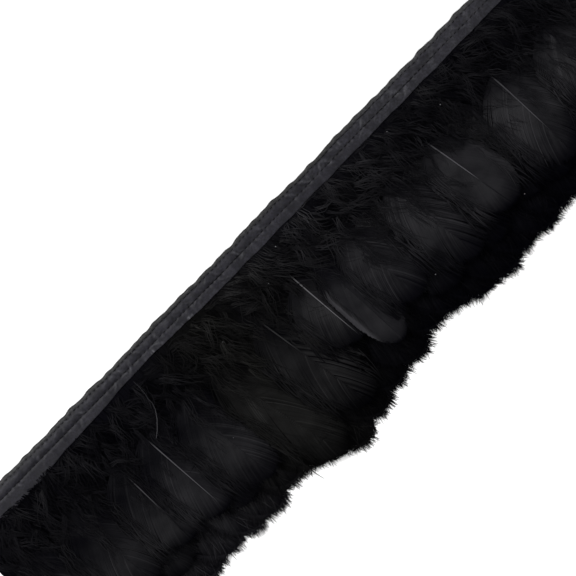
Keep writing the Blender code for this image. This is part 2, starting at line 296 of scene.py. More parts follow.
def make_ribbon(quills):
    """The folded sheet, from the lower ply's loose edge round the fold to the upper ply's loose edge."""
    stations = int(TRIM_LENGTH / RIBBON_STEP) + 1
    x = np.linspace(-TRIM_LENGTH / 2, TRIM_LENGTH / 2, stations)
    width = np.array([tape_width(value) for value in x])
    loose_upper = width + 0.00050 * wander(x, 3, 6, 0.045, 0.012) + 0.00022 * wander(x, 4, 5, 0.009, 0.004)
    loose_lower = width - 0.0006 + 0.0003 * wander(x, 8, 4, 0.06, 0.02)
    half = RIBBON_THICKNESS / 2
    lines, looks = [], {"crease": [], "selvedge": [], "seam": []}

    def lay(y, z, **values):
        """One more line of points along the tape, with how creased, how near the fold and how dark it is."""
        lines.append([np.broadcast_to(value, x.shape) for value in (x, y, z)])
        for title, column in looks.items():
            column.append(np.broadcast_to(values.get(title, 0.0), x.shape))

    for share in np.linspace(1, 0, LOWER_COLUMNS):
        across = FOLD_TURN + share * (loose_lower - FOLD_TURN)
        lay(FOLD_Y - across, half + LOWER_GAP)
    for turn in np.linspace(0, 1, FOLD_COLUMNS + 2)[1:-1]:
        angle = np.pi * turn
        y = FOLD_Y - FOLD_TURN + (FOLD_TURN + fold_pull(x)) * np.sin(angle)
        lay(y, half + FOLD_RADIUS * (1 - np.cos(angle)), selvedge=turn)
    for share in np.linspace(0, 1, UPPER_COLUMNS):
        across = FOLD_TURN + share * (loose_upper - FOLD_TURN)
        # The crease ridges' painted highlight, and the painted shade of the needle holes and crease hollows
        relief, crease, seam = ribbon_relief(x, across, width, quills)
        selvedge = np.clip(1.4 - across / 0.0024, 0, 1)
        lay(*upper_ply(x, across, relief), crease=crease, selvedge=selvedge, seam=seam)
    middle = np.array(lines).transpose(2, 0, 1)
    along = np.gradient(middle, axis=0)
    over = np.gradient(middle, axis=1)
    normal = np.cross(along, over)
    normal /= np.linalg.norm(normal, axis=2, keepdims=True)
    rows, cols = middle.shape[:2]
    skins = (middle + half * normal, middle - half * normal)
    vertices = np.concatenate([skin.reshape(-1, 3) for skin in skins])
    grid = np.arange(rows * cols).reshape(rows, cols)
    a, b, c, d = grid[:-1, :-1], grid[1:, :-1], grid[1:, 1:], grid[:-1, 1:]
    outside = np.stack([a, b, c, d], axis=-1).reshape(-1, 4)
    inside = outside[:, ::-1] + rows * cols
    rim = np.concatenate([grid[0, :], grid[1:, -1], grid[-1, -2::-1], grid[-2::-1, 0]])
    wall = np.stack([rim[:-1], rim[1:], rim[1:] + rows * cols, rim[:-1] + rows * cols], axis=-1)
    mesh = bpy.data.meshes.new("ribbon_tape_cloth")
    faces = np.concatenate([outside, inside, wall])
    mesh.from_pydata(vertices.tolist(), [], faces.tolist())
    for title, values in looks.items():
        value = np.array(values).T.reshape(-1)
        layer = mesh.attributes.new(title, "FLOAT", "POINT")
        layer.data.foreach_set("value", np.tile(value, 2).astype(np.float32))
    mesh.polygons.foreach_set("use_smooth", [True] * len(mesh.polygons))
    mesh.materials.append(ribbon_finish())
    mesh.validate()
    mesh.update()
    return link_object("ribbon_tape_cloth", mesh)


# The feathers. Black-dyed goose feathers in three ranks: long matte ones at the back, whose fuzzy tips are
# the scalloped edge, and satin ones in two ranks over them. Each has its quill sewn into the tape, loose wavy
# down along its lower shaft, and a vane of barbs that lie side by side and part here and there.
FEATHERS = 50
SLOT = TRIM_LENGTH / FEATHERS
SLOT_JITTER = 0.0008
QUILL_DEPTH = 0.0110
QUILL_Z = 0.00135
VANE_START = 0.0315
VANE_OPENING = 0.0140
ROUND_TIP = 0.004
STEP_UP = 0.0010
KEEL = 0.00030
BACK = {"reach": 0.132, "half_width": 0.0240, "slope": 0.088}
MIDDLE = {"reach": 0.110, "half_width": 0.0220, "slope": 0.050}
TOP = {"reach": 0.128, "half_width": 0.0225, "slope": 0.052}
RANKS = {"back": BACK, "middle": MIDDLE, "top": TOP}
BACK_REACHES = (
    0.118, 0.121, 0.117, 0.119, 0.122, 0.120, 0.121, 0.122, 0.117, 0.123, 0.132, 0.126, 0.1205,
    0.1185, 0.1125, 0.1145, 0.121, 0.122, 0.119, 0.1195, 0.117, 0.120, 0.116, 0.120, 0.118,
)
BACK_LEAN, BACK_LEAN_WAVE, BACK_WAVE_LENGTH = 4.5, 2.5, 0.31
BEND = 0.0015
# Rank, shift along the tape, lean in degrees, reach, half width, and the looks: how light the vane is, how
# warm its black is, how far its barbs have parted, and how bright its shaft is where it lies bare, partly its
# paler horn and partly a painted highlight
FRONT_FEATHERS = (
    ("top", 0.0, 2.0, 0.092, 0.0210, 0.9, 0.0, 0.3, 0.3),
    ("middle", 0.0, 3.0, 0.104, 0.0215, 0.8, 0.1, 0.3, 0.1),
    ("top", 0.0, 4.0, 0.098, 0.0220, 0.8, 0.1, 0.3, 0.3),
    ("middle", 0.0, 2.5, 0.108, 0.0215, 0.8, 0.2, 0.4, 0.1),
    ("top", 0.0010, 1.0, 0.096, 0.0200, 0.86, 0.1, 0.3, 0.8),
    ("top", 0.0040, 3.5, 0.098, 0.0210, 0.92, 0.0, 0.2, 1.2),
    ("middle", 0.0, 3.0, 0.106, 0.0210, 0.8, 0.0, 0.5, 0.1),
    ("top", -0.0030, 4.0, 0.104, 0.0215, 0.84, 0.1, 0.5, 0.12),
    ("top", 0.0, 12.0, 0.128, 0.0180, 0.60, 0.7, 0.5, 0.12),
    ("middle", 0.0, 6.0, 0.109, 0.0205, 0.5, 0.9, 0.6, 0.1),
    ("top", 0.0040, 8.0, 0.116, 0.0190, 0.65, 0.4, 0.35, 0.4),
    ("middle", 0.0, 3.0, 0.102, 0.0210, 0.7, 0.5, 0.5, 0.1),
    ("top", 0.0, 2.5, 0.084, 0.0190, 1.1, 0.2, 0.3, 2.0),
    ("top", -0.0020, 2.5, 0.103, 0.0145, 0.72, 0.0, 0.2, 0.15),
    ("top", 0.0, 6.0, 0.092, 0.0180, 1.02, 0.0, 0.6, 0.2),
    ("middle", 0.0, 5.0, 0.104, 0.0215, 1.0, 0.1, 0.7, 0.15),
    ("top", 0.0, 6.5, 0.100, 0.0190, 0.94, 0.0, 1.0, 0.2),
    ("middle", 0.0, 6.0, 0.104, 0.0205, 0.8, 0.0, 0.8, 0.4),
    ("top", -0.0040, 9.0, 0.094, 0.0195, 1.06, 0.0, 0.2, 1.3),
    ("middle", 0.0, 4.0, 0.100, 0.0210, 0.8, 0.1, 0.7, 0.15),
    ("middle", 0.0, 4.0, 0.104, 0.0215, 0.9, 0.0, 0.4, 0.2),
    ("top", -0.0040, 2.0, 0.100, 0.0225, 1.1, 0.0, 0.3, 0.8),
    ("middle", 0.0, 3.0, 0.104, 0.0205, 0.9, 0.0, 0.4, 0.3),
    ("top", 0.0, 3.0, 0.094, 0.0210, 1.0, 0.0, 0.3, 0.3),
    ("middle", 0.0, 2.0, 0.102, 0.0205, 0.9, 0.0, 0.3, 0.2),
)
# Values that change along the trim, each given at these five places
ALONG_X = (-0.12, -0.06, 0.0, 0.06, 0.12)
# How light the back feathers are and how warm their black is
BACK_LIGHT = (1.05, 0.54, 0.28, 0.22, 0.20)
BACK_WARMTH = (0.0, 0.8, 0.3, 0.1, 0.0)
# How far from the tape the vanes begin to show out of their painted shade under the down, and over what
# length they darken at their tips, the painted shade of tips that bend away from the light
PALE_BEGINS = (0.040, 0.034, 0.030, 0.025, 0.020)
TIP_FADES = (0.015, 0.034, 0.038, 0.035, 0.036)
BACK_TIP_FADE = 0.016
# How much of its light a middle feather keeps in the painted shade at its tip
MIDDLE_KEEPS = (0.90, 0.60, 0.40, 0.45, 0.45)
# How light the loose down is, how much lighter next to the tape, and how light the down's heart is, near
# black as painted shade deep in the down
DOWN_LIGHT = (0.62, 0.77, 0.97, 1.12, 0.66)
DOWN_AT_TAPE = (0.20, 0.25, 0.55, 0.50, 0.55)
HEART_LIGHT = (0.20, 0.25, 0.34, 0.32, 0.24)
# How much lighter or darker each rank is than its feathers' own looks say; the middle rank's extra light is
# painted light, making up for the shade it lies in between the top vanes
RANK_LIGHT = {"back": 1.08, "middle": 1.9, "top": 1.08}
BACK_VANE_LIGHT = 0.75
CAMBER = 0.0009
BARBS = 76
BARB_STATIONS = 7
# Half a barb's width at its root, and how far before their vane's outline the first roots begin
BARB_HALF_WIDTH, BARB_INSET = 0.00064, 0.003
# Where the first barb's end lies on the vane's outline, and how evenly the roots spread along the shaft
BARB_ENDS = {"back": (0.30, 1.25), "middle": (0.22, 1.50), "top": (0.24, 1.55)}
# How much darker a vane is at its edge, on most feathers and on the sides that differ
SOFT_EDGE = 0.20
SOFT_EDGES = {("top_feather_12", 1): 0.05, ("top_feather_12", -1): 0.50}
# Sides whose barbs turn striped towards the tip: how much they differ in lightness at first, how much more
# they do later, and between which shares of the vane that comes in
STRIPED_SIDES = {("top_feather_07", 1): (0.10, 0.55, (0.15, 0.45))}
# How far soft vanes spread over their neighbours, as a share of their width; some do so less
SPREAD = 1.13
OVERLAP = {"top_feather_06": 1.08, "top_feather_09": 1.0, "top_feather_12": 1.04}
# Vanes whose edge stands up and catches the light: the side, how far it rises, how much paler it is, and the
# share of the vane's width and the distance from the tape where that begins
ROLLED_RIMS = {
    "top_feather_09": (-1, 0.0016, 2.9, 0.66, 0.049),
    "top_feather_12": (1, 0.0010, 0.9, 0.78, 0.050),
}
# Where a vane shows out of its painted shade under the down, if not as far out as on its neighbours: where it
# begins to, and where all of it does
PALE_FROM = {
    "top_feather_06": (0.036, 0.066),
    "top_feather_07": (0.038, 0.068),
    "top_feather_09": (0.038, 0.062),
    "top_feather_12": (0.024, 0.056),
}
# Vanes that stay pale to their tips, with the length over which the painted shade darkens each there
PALE_TIPS = {
    "top_feather_04": 0.018,
    "top_feather_06": 0.032,
    "top_feather_07": 0.032,
    "top_feather_09": 0.006,
    "top_feather_12": 0.014,
}
# Feathers whose bare shaft lies clear of the down, and between what distances it shows
BARE_SHAFTS = {
    "top_feather_03": (0.044, 0.068),
    "top_feather_04": (0.036, 0.092),
    "top_feather_07": (0.034, 0.062),
    "top_feather_08": (0.027, 0.080),
    "top_feather_12": (0.031, 0.068),
    "top_feather_13": (0.030, 0.075),
}
# Vanes that lie clear of the down: how far aside of the shaft, half how wide, and between what distances
BARE_VANES = {
    "top_feather_09": (0.0, 0.0130, (0.056, 0.104)),
    "top_feather_12": (0.0085, 0.0090, (0.050, 0.094)),
}
# The kinds of strand that a feather is made of: name, sides, and thickness as a share of width
KINDS = (("barb", 3, 0.14), ("down", 3, 0.70), ("shaft", 8, 0.85), ("fill", 6, 0.85))
KINDS_BY_NAME = {name: level for level, (name, _, _) in enumerate(KINDS)}


def smooth_step(value, start, end):
    share = np.clip((value - start) / (end - start), 0, 1)
    return share * share * (3 - 2 * share)


def along_trim(x, values):
    """A value that changes along the trim, from its values at five places."""
    return float(np.interp(x, ALONG_X, values))


def uneven(number, salt):
    """A fixed value from -1 to 1 that looks random, for the small differences between feathers."""
    return 2 * ((number * 0.6180340 + salt * 0.3819660) % 1) - 1


def vane_outline(reach, distance):
    """Half a vane's width at a distance from the tape, as a share of its widest, down to its round tip."""
    opening = np.sin(np.clip((distance - VANE_START) / VANE_OPENING, 0, 1) * np.pi / 2)
    share = np.clip((distance - VANE_START) / (reach - VANE_START), 0, 1)
    closing = np.sqrt(1 - np.clip((share - 0.5) / 0.5, 0, 1) ** 2.6)
    return opening * closing


def half_outline(feather):
    """Half of a vane's outline as points: distance from the tape, half width, and length along it."""
    reach = feather["reach"]
    end = reach - ROUND_TIP * np.linspace(1, 0, 60)[1:] ** 2
    distance = np.concatenate([np.linspace(VANE_START, reach - ROUND_TIP, 300), end])
    half = feather["half_width"] * vane_outline(reach, distance)
    if feather["kind"] != "back":
        half = half * OVERLAP.get(feather["name"], SPREAD)
    if feather["kind"] != "back" and feather["name"] not in ROLLED_RIMS:
        wave = np.sin(2 * np.pi * (distance / 0.031 + uneven(feather["seed"], 5)))
        ripple = np.sin(2 * np.pi * (distance / 0.013 + uneven(feather["seed"], 6)))
        half = half * (1 + 0.045 * wave + 0.035 * ripple)
    return distance, half, np.concatenate([[0], np.cumsum(np.hypot(np.diff(distance), np.diff(half)))])


def clinging_groups(number, sizes, rng):
    """The group of neighbours that each barb clings to."""
    group = np.zeros(number, dtype=int)
    place = groups = 0
    while place < number:
        size = int(rng.choice(sizes) * (0.7 + 0.6 * rng.rand())) + 1
        group[place : place + size] = groups
        place += size
        groups += 1
    return group, groups


def side_rise(rank, distance):
    """How far a rank's widest vane rises or drops at its sides, at a distance from the tape."""
    return rank["slope"] * rank["half_width"] * vane_outline(rank["reach"], distance)


def rank_height(rank, distance):
    """The height of a rank's shafts above the table: over the table, or over the rank below."""
    if rank is BACK:
        return np.maximum(KEEL, side_rise(BACK, distance))
    below = BACK if rank is MIDDLE else MIDDLE
    return rank_height(below, distance) + side_rise(below, distance) + STEP_UP + side_rise(rank, distance)


def shaft_x(feather, distance):
    """Where the shaft runs at a distance from the tape, with its slight bend."""
    share = distance / feather["reach"]
    return feather["root"] + math.tan(feather["lean"]) * distance + feather["bend"] * share**2


def shaft_z(feather, distance):
    """The shaft climbs out of the tape and over the ranks below it."""
    climb = np.clip(distance / (VANE_START + VANE_OPENING), 0, 1)
    climb = climb * climb * (3 - 2 * climb)
    full = rank_height(feather["rank"], np.maximum(distance, VANE_START + VANE_OPENING))
    return QUILL_Z + (full - QUILL_Z) * climb


def on_vane(feather, distance, side):
    """The point on a vane at a distance from the tape and a signed distance from its shaft."""
    rank = feather["rank"]
    drop = CAMBER * (side / feather["half_width"]) ** 2
    height = shaft_z(feather, distance) - rank["slope"] * side - drop
    return np.stack([shaft_x(feather, distance) + side, -FOLD_Y - distance, height], axis=-1)


def feather_list():
    """Every feather of the trim in the order of its quill along the tape."""
    counts = dict.fromkeys(RANKS, 0)
    feathers = []
    for slot in range(FEATHERS):
        x = -TRIM_LENGTH / 2 + SLOT * (slot + 0.5)
        if slot % 2 == 0:
            kind, shift, reach = "back", 0.0, BACK_REACHES[slot // 2]
            wave = math.sin(2 * math.pi * x / BACK_WAVE_LENGTH + 0.7)
            lean = BACK_LEAN + BACK_LEAN_WAVE * wave + 0.8 * uneven(slot, 1)
            half_width = BACK["half_width"] * (0.96 + 0.04 * uneven(slot, 2))
            looks = (along_trim(x, BACK_LIGHT), along_trim(x, BACK_WARMTH), 0.05, 0.04)
        else:
            kind, shift, lean, reach, half_width, *looks = FRONT_FEATHERS[slot // 2]
        counts[kind] += 1
        name = f"{kind}_feather_{counts[kind]:02d}"
        light, warm, parted, shaft_light = looks
        # Where the painted shade under the down lifts, and the length of the tip's painted shade: middle
        # feathers, whose vanes fill the shaded gaps between the top ones, come out sooner (later at the right
        # end) and darken over a longer length
        begins = along_trim(x, PALE_BEGINS) + (-0.006 if kind == "middle" else 0.003)
        begins += 0.012 if kind == "middle" and x > 0.12 else 0.0
        fade = along_trim(x, TIP_FADES) + (0.030 if kind == "middle" else 0.0)
        pale_from, pale_full = PALE_FROM.get(name, (begins, begins + (0.018 if kind == "middle" else 0.032)))
        feathers.append(
            {
                "name": name,
                "kind": kind,
                "rank": RANKS[kind],
                "root": x + shift + SLOT_JITTER * uneven(slot, 3),
                "lean": math.radians(lean),
                "bend": BEND * uneven(slot, 4),
                "reach": reach,
                "half_width": half_width,
                "light": light * RANK_LIGHT[kind],
                "warm": warm,
                "parted": parted,
                "shaft_light": shaft_light,
                "pale_from": pale_from,
                "pale_full": pale_full,
                "fade": BACK_TIP_FADE if kind == "back" else PALE_TIPS.get(name, fade),
                "seed": 100 + slot,
            }
        )
    return feathers


class Strands:
    """Gathers the strands of one feather as lines of points, each point with a width and a lightness."""

    def __init__(self):
        self.points, self.edges, self.values, self.count = [], [], [], 0

    def add(self, kind, points, thick, light):
        """points is strands by stations by 3; thick and light are spread over strands and stations."""
        strands, stations = points.shape[:2]
        index = self.count + np.arange(strands * stations).reshape(strands, stations)
        self.points.append(points.reshape(-1, 3))
        self.edges.append(np.stack([index[:, :-1], index[:, 1:]], axis=-1).reshape(-1, 2))
        shape = (strands, stations)
        level = np.full(shape, KINDS_BY_NAME[kind], dtype=float)
        spread = [np.broadcast_to(value, shape).reshape(-1) for value in (thick, light, level)]
        self.values.append(np.stack(spread, axis=-1))
        self.count += strands * stations

    def object(self, name):
        mesh = bpy.data.meshes.new(name)
        points = np.concatenate(self.points)
        mesh.from_pydata(points.tolist(), np.concatenate(self.edges).tolist(), [])
        values = np.concatenate(self.values)
        for column, title in enumerate(("thick", "light", "kind")):
            layer = mesh.attributes.new(title, "FLOAT", "POINT")
            layer.data.foreach_set("value", values[:, column].astype(np.float32))
        return link_object(name, mesh)


def strand_tree():
    """Sweeps every strand's line into a closed strand of its kind's section, and gives it its finish."""
    tree = bpy.data.node_groups.new("feather_strands", "GeometryNodeTree")
    tree.interface.new_socket("Lines", in_out="INPUT", socket_type="NodeSocketGeometry")
    tree.interface.new_socket("Strands", in_out="OUTPUT", socket_type="NodeSocketGeometry")
    nodes = Nodes(tree)
    start = nodes.add("NodeGroupInput")
    joined = nodes.add("GeometryNodeJoinGeometry")
    kind_of = nodes.add("GeometryNodeInputNamedAttribute", Name="kind").outputs["Attribute"]
    thick = nodes.add("GeometryNodeInputNamedAttribute", Name="thick").outputs["Attribute"]
    for level, (name, sides, thickness) in enumerate(KINDS):
        socket = tree.interface.new_socket(f"{name} thickness", in_out="INPUT", socket_type="NodeSocketFloat")
        socket.default_value = thickness
        tree.interface.new_socket(f"{name} finish", in_out="INPUT", socket_type="NodeSocketMaterial")
        this = nodes.add("FunctionNodeCompare", {"operation": "EQUAL"}, i0=kind_of, i1=float(level))
        this.inputs["Epsilon"].default_value = 0.1
        lines = nodes.add("GeometryNodeSeparateGeometry", Geometry=start.outputs[0])
        nodes.put(lines, "Selection", this.outputs[0])
        curves = nodes.add("GeometryNodeMeshToCurve", Mesh=lines.outputs[0])
        level_curves = nodes.add("GeometryNodeSetCurveNormal", {"mode": "Z_UP"}, Curve=curves.outputs[0])
        ring = nodes.add("GeometryNodeCurvePrimitiveCircle", Resolution=sides, Radius=1.0)
        shape = nodes.add("ShaderNodeCombineXYZ", X=1.0, Y=start.outputs[f"{name} thickness"], Z=1.0)
        turned = nodes.add("GeometryNodeTransform", Geometry=ring.outputs["Curve"])
        nodes.put(turned, "Rotation", (0, 0, -math.pi / 2))
        section = nodes.add("GeometryNodeTransform", Geometry=turned.outputs[0], Scale=shape.outputs[0])
        sweep = nodes.add("GeometryNodeCurveToMesh", Curve=level_curves.outputs[0], Scale=thick)
        nodes.put(sweep, "Profile Curve", section.outputs[0])
        nodes.put(sweep, "Fill Caps", True)
        finish = nodes.add("GeometryNodeSetMaterial", Geometry=sweep.outputs[0])
        nodes.put(finish, "Material", start.outputs[f"{name} finish"])
        tree.links.new(finish.outputs[0], joined.inputs[0])
    smooth = nodes.add("GeometryNodeSetShadeSmooth", Geometry=joined.outputs[0])
    whole = nodes.add("GeometryNodeRealizeInstances", Geometry=smooth.outputs[0])
    end = nodes.add("NodeGroupOutput")
    tree.links.new(whole.outputs[0], end.inputs[0])
    return tree


def made_mesh(source, tree, **values):
    """The plain mesh that a tree makes of an object, which is then removed."""
    modifier = source.modifiers.new("made", "NODES")
    modifier.node_group = tree
    for item in tree.interface.items_tree:
        key = item.name.replace(" ", "_")
        if item.item_type == "SOCKET" and item.in_out == "INPUT" and key in values:
            modifier[item.identifier] = values[key]
    depsgraph = bpy.context.evaluated_depsgraph_get()
    mesh = bpy.data.meshes.new_from_object(source.evaluated_get(depsgraph), depsgraph=depsgraph)
    lines = source.data
    bpy.data.objects.remove(source, do_unlink=True)
    bpy.data.meshes.remove(lines)
    return mesh


def bezier(start, control, end, share):
    """Points along a quadratic curve for each strand."""
    share = share[None, :]
    rest = 1 - share
    return rest**2 * start[:, None] + 2 * share * rest * control[:, None] + share**2 * end[:, None]


def barb_tones(feather, side, parted, order, group, groups, rng):
    """How much lighter or darker each barb is than its vane; here and there one is bright."""
    number = len(order)
    back = feather["kind"] == "back"
    spread = 0.22 if back else 0.03 + 0.60 * parted**2
    striped = STRIPED_SIDES.get((feather["name"], side))
    if striped:
        least, more, span = striped
        spread = least + more * smooth_step(order, *span)
    tone = 1 + 0.06 * rng.randn(groups)[group] + spread * rng.randn(number)
    luck = np.random.RandomState(feather["seed"] + (7 if side > 0 else 8)).rand(number)
    bright = 0.0 if back or feather["name"] in ROLLED_RIMS else 0.8
    return np.clip(tone + bright * (luck < 0.05 + 0.08 * parted), 0.35, 2.4)


def add_vane(strands, feather, rng):
    """The barbs on both sides of the shaft, in groups that have drawn together and parted from the next."""
    reach, widest, name = feather["reach"], feather["half_width"], feather["name"]
    distance, half, arc = half_outline(feather)
    number = int(BARBS * (0.75 + 0.25 * reach / 0.12))
    share = np.linspace(0, 1, BARB_STATIONS)[None, :]
    order = np.arange(number) / (number - 1)
    for side in (-1, 1):
        parted = feather["parted"] * (0.75 if side > 0 else 0.35)
        group, groups = clinging_groups(number, (6, 12, 18, 26), rng)
        middle = np.array([order[group == g].mean() for g in range(groups)])
        drawn = np.clip(0.36 * parted * rng.rand(groups) ** 1.5, 0, 0.5)[group]
        drawn = drawn * (1 - 0.7 * smooth_step(order, 0.75, 0.95))
        end_order = np.clip(order + (middle[group] - order) * drawn, 0, 1)
        first, bunched = BARB_ENDS[feather["kind"]]
        end_arc = arc[-1] * (first + (1 - first) * end_order**0.60)
        start = VANE_START - BARB_INSET + (reach - BARB_INSET - VANE_START) * order**bunched
        ragged = 0.04 if feather["kind"] == "back" or name in ROLLED_RIMS else 0.15
        short = ragged * (rng.rand(number) ** 1.5 - 0.25) + 0.06 * parted * (rng.rand(groups) ** 2)[group]
        short = short * (1 - 0.7 * smooth_step(order, 0.70, 1.0))
        end = start + (np.interp(end_arc, arc, distance) - start) * (1 - short)
        end_half = np.interp(end_arc, arc, half) * (1 - short)
        s = bezier(start, start + 0.34 * (end - start), end, share[0])
        w = bezier(np.full(number, 0.0001), 0.58 * end_half, end_half, share[0])
        points = on_vane(feather, s, side * w)
        lift = 0.00003 * rng.randn(groups)[group] + 0.00001 * rng.randn(number)
        if name not in ROLLED_RIMS:
            points[:, :, 2] += lift[:, None] * share
        rim = 1.0 if feather["kind"] == "back" else 1 - SOFT_EDGES.get((name, side), SOFT_EDGE) * share**2.2
        if name in ROLLED_RIMS and side == ROLLED_RIMS[name][0]:
            _, rise, pale, from_share, from_distance = ROLLED_RIMS[name]
            rolled = smooth_step(w, from_share * widest, (from_share + 0.14) * widest)
            rolled = rolled * smooth_step(s, from_distance, from_distance + 0.004)
            points[:, :, 2] += rise * rolled
            # The raised rim is painted paler: a painted highlight where it catches the light
            rim = 1 - 0.15 * share**2 + pale * rolled
        tone = barb_tones(feather, side, parted, order, group, groups, rng)
        # Painted shade: darker towards the tip, and at the base where the vane lies under the down
        tip = smooth_step(reach - s, -0.002, feather["fade"] * (0.7 + 0.6 * rng.rand(number))[:, None])
        base = 0.24 + 0.76 * smooth_step(s, feather["pale_from"], feather["pale_full"])
        light = feather["light"] * tone[:, None] * (0.16 + 0.84 * tip) * base * rim
        if feather["kind"] == "back":
            light = light * BACK_VANE_LIGHT
        elif feather["kind"] == "middle":
            # A middle vane keeps part of its light in its tip's painted shade
            kept = along_trim(feather["root"], MIDDLE_KEEPS)
            light = light * (kept + (1 - kept) * tip)
        thick = BARB_HALF_WIDTH * (1 - 0.30 * share**4) * (1 - 0.30 * drawn[:, None] * share)
        thick = np.where(share > 0.99, thick * (0.7 if feather["kind"] == "back" else 0.55), thick)
        points[:, :, 2] = np.maximum(points[:, :, 2], 0.00025)
        strands.add("barb", points, thick, light)


def add_shaft(strands, feather):
    """The shaft from its quill in the tape to its tip, with painted shade where down covers it and towards
    its tip, and where it lies bare a bright line, partly its paler horn and partly a painted highlight.
    """
    distance = np.linspace(-QUILL_DEPTH, feather["reach"] - 0.0015, 30)
    outside = np.maximum(distance, 0)
    points = on_vane(feather, outside, 0 * distance)
    points[:, 1] = -FOLD_Y - distance
    share = outside / feather["reach"]
    thick = 0.00036 * (1 - share) + 0.00010
    # Painted shade where the down covers the shaft, and towards its tip
    light = 0.27 * feather["light"] * (0.2 + 0.8 * smooth_step(distance, 0.034, 0.064))
    light = light * (0.15 + 0.85 * smooth_step(feather["reach"] - distance, 0.002, 0.030))
    bare = BARE_SHAFTS.get(feather["name"])
    if bare:
        thick = 0.00048 * (1 - share) ** 0.8 + 0.00008
        points[:, 2] += 0.00030
        shown = smooth_step(distance, bare[0] - 0.004, bare[0] + 0.006)
        shown = shown * (1 - smooth_step(distance, bare[1] - 0.010, bare[1] + 0.002))
        # Where bare, the shaft is lighter: partly its paler horn, partly a painted highlight
        light = light + feather["shaft_light"] * shown
    strands.add("shaft", points[None], thick[None], light[None])


def keep_off(points, distance, clear):
    """Which strands stay off the bare shafts and vanes, given by their lines, half widths and distances."""
    kept = np.ones(len(points), dtype=bool)
    for feather, aside, half_width, (first, last) in clear:
        line = shaft_x(feather, np.maximum(distance, 0)) + aside
        near = np.abs(points[:, :, 0] - line) < half_width
        kept &= ~np.any(near & (distance > first) & (distance < last), axis=1)
    return kept


def mound(distance):
    """The height of the down above the table: it swells out of the tape and lies over the vanes' feet."""
    swell = 0.0026 + 0.0074 * np.clip(distance / 0.014, 0, 1) ** 0.6
    return swell + 0.0008 * smooth_step(distance, 0.014, 0.040)


# The loose down: clumps to a feather and the length of shaft that they grow on, where the first one starts,
# points to a barb, and between what heights it lies
DOWN_CLUMPS = {"back": (22, 0.036), "front": (26, 0.056)}
DOWN_FIRST = -0.0014
DOWN_STATIONS = 7
DOWN_HEIGHTS = (0.0009, 0.0114)
# The fewest barbs to a clump and one more than the most, the least length of a barb and how much longer it
# may be, and half its least width and how much wider that may be
CLUMP_BARBS = (6, 10)
DOWN_LENGTH, DOWN_LONGER = 0.013, 0.015
DOWN_HALF_WIDTH, DOWN_WIDER = 0.00013, 0.00011


def down_light(feather, share, distance, depth, rng):
    """How light a clump is: painted shade deep in the down, a painted shadow at the tape's edge, and more
    even over the vane.
    """
    back = feather["kind"] == "back"
    level = along_trim(feather["root"], DOWN_LIGHT) * (0.85 if back else 1.0)
    near_tape = along_trim(feather["root"], DOWN_AT_TAPE)
    on_vane_light = level if back else 0.98
    # Painted shade: the deeper a clump lies in the down, the darker it is
    pale = 1.34 - 2.7 * depth + 0.34 * rng.randn()
    light = max(pale, 0.12) * (0.80 + 0.35 * rng.rand(len(distance), 1))
    light = light * (0.60 + 0.50 * np.sin(math.pi * share**0.8))
    edge = distance - tape_width(feather["root"]) + TAPE_WIDTH
    laid = smooth_step(distance, 0.026, 0.050)
    light = light * level * (1 - laid) + on_vane_light * (0.70 + 0.30 * light) * laid
    # A painted shadow under the tape's edge
    light = light * (0.25 + 0.75 * smooth_step(edge, -0.0004, 0.0012))
    return light * (1 + near_tape * (1 - smooth_step(distance, 0.004, 0.016)))


def add_down(strands, feather, rng, clear):
    """Clumps of long wavy barbs from the lower shaft, that lean over to one side and taper to a point."""
    clumps, bed = DOWN_CLUMPS["back" if feather["kind"] == "back" else "front"]
    share = np.linspace(0, 1, DOWN_STATIONS)
    for clump in range(clumps):
        number = rng.randint(*CLUMP_BARBS)
        start = DOWN_FIRST + bed * ((clump + rng.rand()) / clumps) ** 1.25
        late = smooth_step(start, 0.020, 0.040)
        lean = 22 - 12 * smooth_step(-feather["root"], 0.08, 0.15)
        heading = math.radians(lean * (1 - 0.4 * late) + (26 - 14 * late) * rng.randn())
        length = DOWN_LENGTH + DOWN_LONGER * rng.rand()
        turning = math.radians(38) * rng.randn()
        swing = math.radians(7 + 18 * rng.rand()) * (0.5 + 0.5 * share)
        wave = length / (0.0080 + 0.0060 * rng.rand()) * 2 * math.pi
        phase = rng.rand() * 2 * math.pi
        own = math.radians(6) * rng.randn(number, 1)
        angle = heading + own * (1 - share) * 2 + turning * (share - 0.3)[None, :]
        angle = angle + swing * np.sin(wave * share + phase + 0.5 * rng.randn(number, 1))
        step = length * (0.60 + 0.60 * rng.rand(number, 1)) / (DOWN_STATIONS - 1)
        root = np.zeros((number, 1))
        side = np.concatenate([root, np.cumsum(step * np.sin(angle[:, 1:]), axis=1)], axis=1)
        ahead = np.concatenate([root, np.cumsum(step * np.cos(angle[:, 1:]), axis=1)], axis=1)
        apart = 0.0017 * rng.randn(number, 1) * (1 - 0.65 * share)[None, :]
        offset = side + apart * math.cos(heading) + 0.0034 * rng.randn()
        distance = np.maximum(start + ahead - apart * math.sin(heading), -0.0012)
        depth = 0.45 * rng.rand() ** 1.2
        foot = shaft_z(feather, np.maximum(distance, 0))
        top = mound(distance) * (1 - depth) + 0.0004 * np.sin(3.0 * share + phase)[None, :]
        z = foot + (np.maximum(top, foot + 0.0004 * (1 - depth)) - foot) * smooth_step(share, 0.0, 0.16)
        z = z + 0.00020 * rng.randn(number, 1) * share
        z = np.where(distance < 0.0002, np.minimum(z, 0.0016), z)
        z = np.clip(z, *DOWN_HEIGHTS)
        x = shaft_x(feather, np.maximum(distance, 0)) + offset
        points = np.stack([x, -FOLD_Y - distance, z], axis=-1)
        light = down_light(feather, share, distance, depth, rng)
        thick = (DOWN_HALF_WIDTH + DOWN_WIDER * rng.rand(number, 1)) * (1 - 0.70 * share**2)
        kept = keep_off(points, distance, clear)
        if kept.any():
            strands.add("down", points[kept], thick[kept], light[kept])


